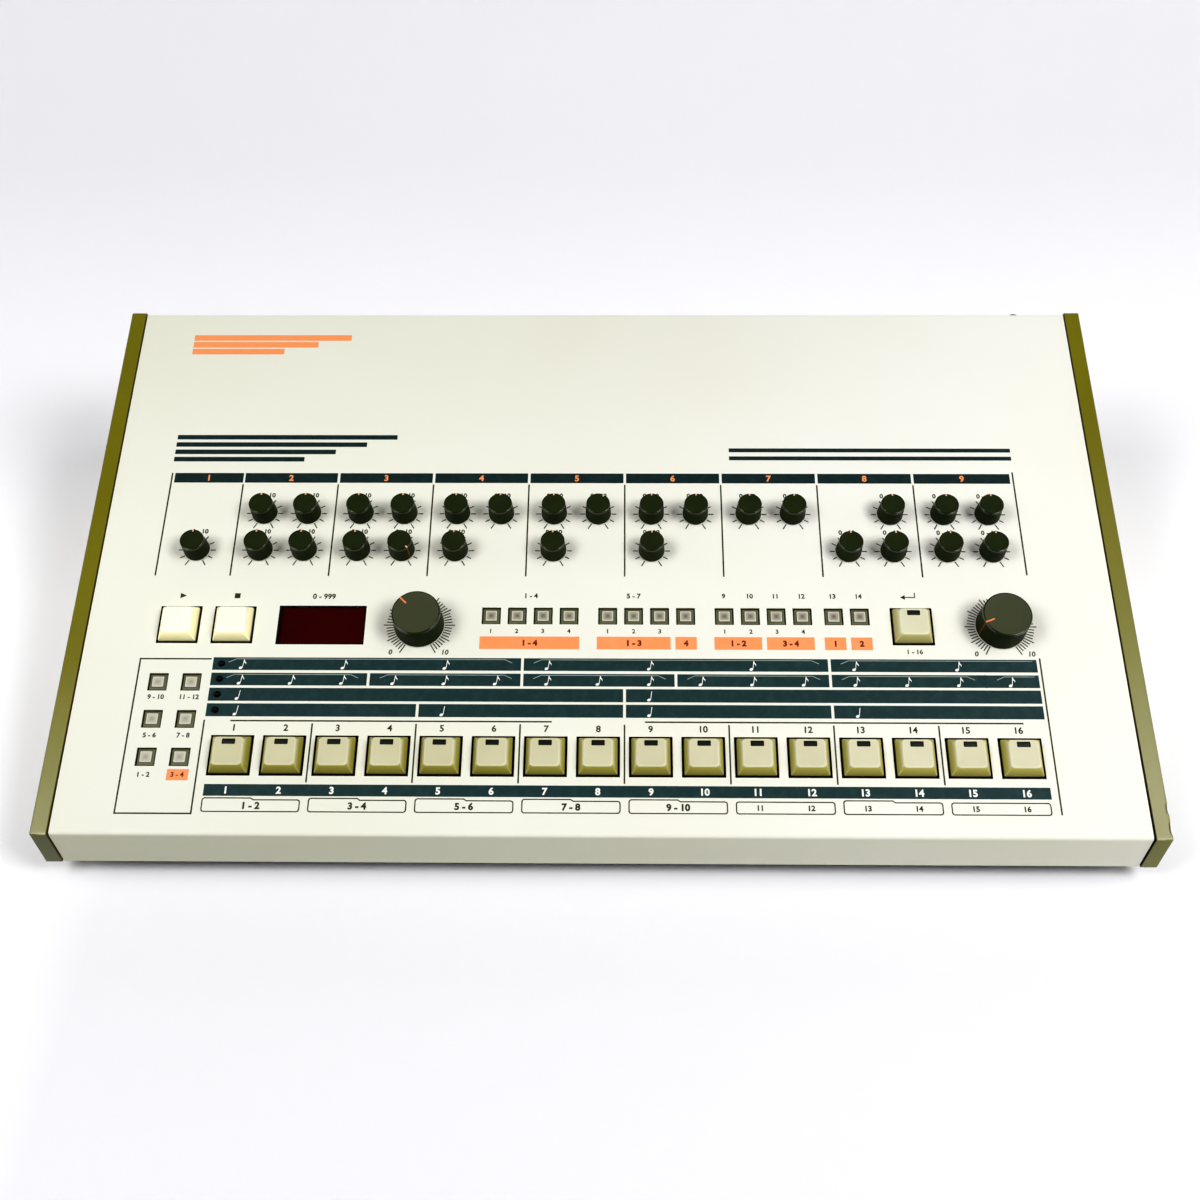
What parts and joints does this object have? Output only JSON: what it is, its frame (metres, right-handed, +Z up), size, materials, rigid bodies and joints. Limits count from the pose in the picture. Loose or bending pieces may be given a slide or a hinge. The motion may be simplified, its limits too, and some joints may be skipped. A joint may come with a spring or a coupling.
{
  "type": "drum machine",
  "caption": "Desk-top drum machine with a sloping ivory panel, olive side panels, turning knobs, sprung step keys and small lamp buttons, and jack sockets at the rear.",
  "frame": {"origin": "under the middle of the case, on the plane of the rubber feet", "axes": "+X to the user's right along the case's width, +Y towards the rear, +Z up; the front face looks along -Y"},
  "size_m": [0.488, 0.2992, 0.1047],
  "materials": {
    "ivory_cover": "moulded ivory plastic, fine satin grain, slightly yellowed",
    "olive_panel": "olive green plastic with fine grain and rubbed edges",
    "chassis_steel": "dark painted folded steel",
    "rear_metal": "ivory painted sheet",
    "foot_rubber": "black rubber",
    "screw_steel": "blackened steel",
    "display_acrylic": "dark maroon acrylic",
    "board_laminate": "green circuit board",
    "pot_metal": "plain metal",
    "switch_plastic": "black plastic",
    "transformer_steel": "lacquered steel laminations",
    "socket_plastic": "black plastic and plated contacts",
    "step_key_plastic": "warm grey-beige plastic",
    "white_key_plastic": "warm white plastic",
    "button_plastic": "grey-olive plastic with a milky lens",
    "knob_plastic": "dark grey-green plastic",
    "power_button_plastic": "black plastic"
  },
  "bodies": {
    "case": {"top_cover": "ivory_cover", "left_side_panel": "olive_panel", "right_side_panel": "olive_panel", "bottom_chassis": "chassis_steel", "rear_panel": "rear_metal", "rubber_feet": "foot_rubber", "case_screws": "screw_steel", "display_window": "display_acrylic", "panel_board": "board_laminate", "potentiometers": "pot_metal", "key_switches": "switch_plastic", "main_board": "board_laminate", "power_supply": "transformer_steel", "rear_sockets": "socket_plastic"},
    "upper_knob_01": {"upper_knob_01": "knob_plastic"},
    "upper_knob_02": {"upper_knob_02": "knob_plastic"},
    "upper_knob_03": {"upper_knob_03": "knob_plastic"},
    "upper_knob_04": {"upper_knob_04": "knob_plastic"},
    "upper_knob_05": {"upper_knob_05": "knob_plastic"},
    "upper_knob_06": {"upper_knob_06": "knob_plastic"},
    "upper_knob_07": {"upper_knob_07": "knob_plastic"},
    "upper_knob_08": {"upper_knob_08": "knob_plastic"},
    "upper_knob_09": {"upper_knob_09": "knob_plastic"},
    "upper_knob_10": {"upper_knob_10": "knob_plastic"},
    "upper_knob_11": {"upper_knob_11": "knob_plastic"},
    "upper_knob_12": {"upper_knob_12": "knob_plastic"},
    "upper_knob_13": {"upper_knob_13": "knob_plastic"},
    "upper_knob_14": {"upper_knob_14": "knob_plastic"},
    "upper_knob_15": {"upper_knob_15": "knob_plastic"},
    "lower_knob_01": {"lower_knob_01": "knob_plastic"},
    "lower_knob_02": {"lower_knob_02": "knob_plastic"},
    "lower_knob_03": {"lower_knob_03": "knob_plastic"},
    "lower_knob_04": {"lower_knob_04": "knob_plastic"},
    "lower_knob_05": {"lower_knob_05": "knob_plastic"},
    "lower_knob_06": {"lower_knob_06": "knob_plastic"},
    "lower_knob_07": {"lower_knob_07": "knob_plastic"},
    "lower_knob_08": {"lower_knob_08": "knob_plastic"},
    "lower_knob_09": {"lower_knob_09": "knob_plastic"},
    "lower_knob_10": {"lower_knob_10": "knob_plastic"},
    "lower_knob_11": {"lower_knob_11": "knob_plastic"},
    "lower_knob_12": {"lower_knob_12": "knob_plastic"},
    "tempo_knob": {"tempo_knob": "knob_plastic"},
    "volume_knob": {"volume_knob": "knob_plastic"},
    "start_key": {"start_key": "white_key_plastic"},
    "stop_key": {"stop_key": "white_key_plastic"},
    "enter_key": {"enter_key": "step_key_plastic"},
    "step_keys_01_02": {"step_keys_01_02": "step_key_plastic"},
    "step_keys_03_04": {"step_keys_03_04": "step_key_plastic"},
    "step_keys_05_06": {"step_keys_05_06": "step_key_plastic"},
    "step_keys_07_08": {"step_keys_07_08": "step_key_plastic"},
    "step_keys_09_10": {"step_keys_09_10": "step_key_plastic"},
    "step_keys_11_12": {"step_keys_11_12": "step_key_plastic"},
    "step_keys_13_14": {"step_keys_13_14": "step_key_plastic"},
    "step_keys_15_16": {"step_keys_15_16": "step_key_plastic"},
    "button_bank_1": {"button_bank_1": "button_plastic"},
    "button_bank_2": {"button_bank_2": "button_plastic"},
    "button_bank_3": {"button_bank_3": "button_plastic"},
    "button_bank_4": {"button_bank_4": "button_plastic"},
    "corner_buttons": {"corner_buttons": "button_plastic"},
    "power_button": {"power_button": "power_button_plastic"}
  },
  "joints": [
    {"name": "upper_knob_01_turn", "type": "hinge", "parent": "case", "child": "upper_knob_01", "pos_m": [-0.16114, 0.00736, 0.07383], "axis": [0, -0.2504, 0.9681], "range_deg": [-150, 150]},
    {"name": "upper_knob_02_turn", "type": "hinge", "parent": "case", "child": "upper_knob_02", "pos_m": [-0.14014, 0.00736, 0.07383], "axis": [0, -0.2504, 0.9681], "range_deg": [-150, 150]},
    {"name": "upper_knob_03_turn", "type": "hinge", "parent": "case", "child": "upper_knob_03", "pos_m": [-0.1149, 0.00736, 0.07383], "axis": [0, -0.2504, 0.9681], "range_deg": [-150, 150]},
    {"name": "upper_knob_04_turn", "type": "hinge", "parent": "case", "child": "upper_knob_04", "pos_m": [-0.0939, 0.00736, 0.07383], "axis": [0, -0.2504, 0.9681], "range_deg": [-150, 150]},
    {"name": "upper_knob_05_turn", "type": "hinge", "parent": "case", "child": "upper_knob_05", "pos_m": [-0.06866, 0.00736, 0.07383], "axis": [0, -0.2504, 0.9681], "range_deg": [-150, 150]},
    {"name": "upper_knob_06_turn", "type": "hinge", "parent": "case", "child": "upper_knob_06", "pos_m": [-0.04766, 0.00736, 0.07383], "axis": [0, -0.2504, 0.9681], "range_deg": [-150, 150]},
    {"name": "upper_knob_07_turn", "type": "hinge", "parent": "case", "child": "upper_knob_07", "pos_m": [-0.02242, 0.00736, 0.07383], "axis": [0, -0.2504, 0.9681], "range_deg": [-150, 150]},
    {"name": "upper_knob_08_turn", "type": "hinge", "parent": "case", "child": "upper_knob_08", "pos_m": [-0.00142, 0.00736, 0.07383], "axis": [0, -0.2504, 0.9681], "range_deg": [-120, 180]},
    {"name": "upper_knob_09_turn", "type": "hinge", "parent": "case", "child": "upper_knob_09", "pos_m": [0.02382, 0.00736, 0.07383], "axis": [0, -0.2504, 0.9681], "range_deg": [-150, 150]},
    {"name": "upper_knob_10_turn", "type": "hinge", "parent": "case", "child": "upper_knob_10", "pos_m": [0.04482, 0.00736, 0.07383], "axis": [0, -0.2504, 0.9681], "range_deg": [-150, 150]},
    {"name": "upper_knob_11_turn", "type": "hinge", "parent": "case", "child": "upper_knob_11", "pos_m": [0.07006, 0.00736, 0.07383], "axis": [0, -0.2504, 0.9681], "range_deg": [-150, 150]},
    {"name": "upper_knob_12_turn", "type": "hinge", "parent": "case", "child": "upper_knob_12", "pos_m": [0.09106, 0.00736, 0.07383], "axis": [0, -0.2504, 0.9681], "range_deg": [-150, 150]},
    {"name": "upper_knob_13_turn", "type": "hinge", "parent": "case", "child": "upper_knob_13", "pos_m": [0.1373, 0.00736, 0.07383], "axis": [0, -0.2504, 0.9681], "range_deg": [-150, 150]},
    {"name": "upper_knob_14_turn", "type": "hinge", "parent": "case", "child": "upper_knob_14", "pos_m": [0.16254, 0.00736, 0.07383], "axis": [0, -0.2504, 0.9681], "range_deg": [-150, 150]},
    {"name": "upper_knob_15_turn", "type": "hinge", "parent": "case", "child": "upper_knob_15", "pos_m": [0.18354, 0.00736, 0.07383], "axis": [0, -0.2504, 0.9681], "range_deg": [-150, 150]},
    {"name": "lower_knob_01_turn", "type": "hinge", "parent": "case", "child": "lower_knob_01", "pos_m": [-0.191, -0.01239, 0.06872], "axis": [0, -0.2504, 0.9681], "range_deg": [-150, 150]},
    {"name": "lower_knob_02_turn", "type": "hinge", "parent": "case", "child": "lower_knob_02", "pos_m": [-0.16114, -0.01239, 0.06872], "axis": [0, -0.2504, 0.9681], "range_deg": [-150, 150]},
    {"name": "lower_knob_03_turn", "type": "hinge", "parent": "case", "child": "lower_knob_03", "pos_m": [-0.14014, -0.01239, 0.06872], "axis": [0, -0.2504, 0.9681], "range_deg": [-150, 150]},
    {"name": "lower_knob_04_turn", "type": "hinge", "parent": "case", "child": "lower_knob_04", "pos_m": [-0.1149, -0.01239, 0.06872], "axis": [0, -0.2504, 0.9681], "range_deg": [-150, 150]},
    {"name": "lower_knob_05_turn", "type": "hinge", "parent": "case", "child": "lower_knob_05", "pos_m": [-0.0939, -0.01239, 0.06872], "axis": [0, -0.2504, 0.9681], "range_deg": [-15, 285]},
    {"name": "lower_knob_06_turn", "type": "hinge", "parent": "case", "child": "lower_knob_06", "pos_m": [-0.06866, -0.01239, 0.06872], "axis": [0, -0.2504, 0.9681], "range_deg": [-150, 150]},
    {"name": "lower_knob_07_turn", "type": "hinge", "parent": "case", "child": "lower_knob_07", "pos_m": [-0.02242, -0.01239, 0.06872], "axis": [0, -0.2504, 0.9681], "range_deg": [-150, 150]},
    {"name": "lower_knob_08_turn", "type": "hinge", "parent": "case", "child": "lower_knob_08", "pos_m": [0.02382, -0.01239, 0.06872], "axis": [0, -0.2504, 0.9681], "range_deg": [-150, 150]},
    {"name": "lower_knob_09_turn", "type": "hinge", "parent": "case", "child": "lower_knob_09", "pos_m": [0.1163, -0.01239, 0.06872], "axis": [0, -0.2504, 0.9681], "range_deg": [-150, 150]},
    {"name": "lower_knob_10_turn", "type": "hinge", "parent": "case", "child": "lower_knob_10", "pos_m": [0.1373, -0.01239, 0.06872], "axis": [0, -0.2504, 0.9681], "range_deg": [-150, 150]},
    {"name": "lower_knob_11_turn", "type": "hinge", "parent": "case", "child": "lower_knob_11", "pos_m": [0.16254, -0.01239, 0.06872], "axis": [0, -0.2504, 0.9681], "range_deg": [-150, 150]},
    {"name": "lower_knob_12_turn", "type": "hinge", "parent": "case", "child": "lower_knob_12", "pos_m": [0.18354, -0.01239, 0.06872], "axis": [0, -0.2504, 0.9681], "range_deg": [-150, 150]},
    {"name": "tempo_knob_turn", "type": "hinge", "parent": "case", "child": "tempo_knob", "pos_m": [-0.0831, -0.05092, 0.05876], "axis": [0, -0.2504, 0.9681], "range_deg": [-195, 105]},
    {"name": "volume_knob_turn", "type": "hinge", "parent": "case", "child": "volume_knob", "pos_m": [0.1829, -0.05092, 0.05876], "axis": [0, -0.2504, 0.9681], "range_deg": [-262, 38]},
    {"name": "start_key_press", "type": "slide", "parent": "case", "child": "start_key", "axis": [0, 0.2504, -0.9681], "range_m": [0, 0.003], "stiffness_N_per_m": 200, "springref_m": -0.0015},
    {"name": "stop_key_press", "type": "slide", "parent": "case", "child": "stop_key", "axis": [0, 0.2504, -0.9681], "range_m": [0, 0.003], "stiffness_N_per_m": 200, "springref_m": -0.0015},
    {"name": "enter_key_press", "type": "slide", "parent": "case", "child": "enter_key", "axis": [0, 0.2504, -0.9681], "range_m": [0, 0.003], "stiffness_N_per_m": 200, "springref_m": -0.0015},
    {"name": "step_keys_01_02_press", "type": "slide", "parent": "case", "child": "step_keys_01_02", "axis": [0, 0.2504, -0.9681], "range_m": [0, 0.003], "stiffness_N_per_m": 300, "springref_m": -0.0015},
    {"name": "step_keys_03_04_press", "type": "slide", "parent": "case", "child": "step_keys_03_04", "axis": [0, 0.2504, -0.9681], "range_m": [0, 0.003], "stiffness_N_per_m": 300, "springref_m": -0.0015},
    {"name": "step_keys_05_06_press", "type": "slide", "parent": "case", "child": "step_keys_05_06", "axis": [0, 0.2504, -0.9681], "range_m": [0, 0.003], "stiffness_N_per_m": 300, "springref_m": -0.0015},
    {"name": "step_keys_07_08_press", "type": "slide", "parent": "case", "child": "step_keys_07_08", "axis": [0, 0.2504, -0.9681], "range_m": [0, 0.003], "stiffness_N_per_m": 300, "springref_m": -0.0015},
    {"name": "step_keys_09_10_press", "type": "slide", "parent": "case", "child": "step_keys_09_10", "axis": [0, 0.2504, -0.9681], "range_m": [0, 0.003], "stiffness_N_per_m": 300, "springref_m": -0.0015},
    {"name": "step_keys_11_12_press", "type": "slide", "parent": "case", "child": "step_keys_11_12", "axis": [0, 0.2504, -0.9681], "range_m": [0, 0.003], "stiffness_N_per_m": 300, "springref_m": -0.0015},
    {"name": "step_keys_13_14_press", "type": "slide", "parent": "case", "child": "step_keys_13_14", "axis": [0, 0.2504, -0.9681], "range_m": [0, 0.003], "stiffness_N_per_m": 300, "springref_m": -0.0015},
    {"name": "step_keys_15_16_press", "type": "slide", "parent": "case", "child": "step_keys_15_16", "axis": [0, 0.2504, -0.9681], "range_m": [0, 0.003], "stiffness_N_per_m": 300, "springref_m": -0.0015},
    {"name": "button_bank_1_press", "type": "slide", "parent": "case", "child": "button_bank_1", "axis": [0, 0.2504, -0.9681], "range_m": [0, 0.001], "stiffness_N_per_m": 400, "springref_m": -0.0005},
    {"name": "button_bank_2_press", "type": "slide", "parent": "case", "child": "button_bank_2", "axis": [0, 0.2504, -0.9681], "range_m": [0, 0.001], "stiffness_N_per_m": 400, "springref_m": -0.0005},
    {"name": "button_bank_3_press", "type": "slide", "parent": "case", "child": "button_bank_3", "axis": [0, 0.2504, -0.9681], "range_m": [0, 0.001], "stiffness_N_per_m": 400, "springref_m": -0.0005},
    {"name": "button_bank_4_press", "type": "slide", "parent": "case", "child": "button_bank_4", "axis": [0, 0.2504, -0.9681], "range_m": [0, 0.001], "stiffness_N_per_m": 400, "springref_m": -0.0005},
    {"name": "corner_buttons_press", "type": "slide", "parent": "case", "child": "corner_buttons", "axis": [0, 0.2504, -0.9681], "range_m": [0, 0.001], "stiffness_N_per_m": 400, "springref_m": -0.0005},
    {"name": "power_button_press", "type": "slide", "parent": "case", "child": "power_button", "axis": [0, -0.9681, -0.2504], "range_m": [0, 0.0035], "stiffness_N_per_m": 300, "springref_m": -0.00175}
  ]
}
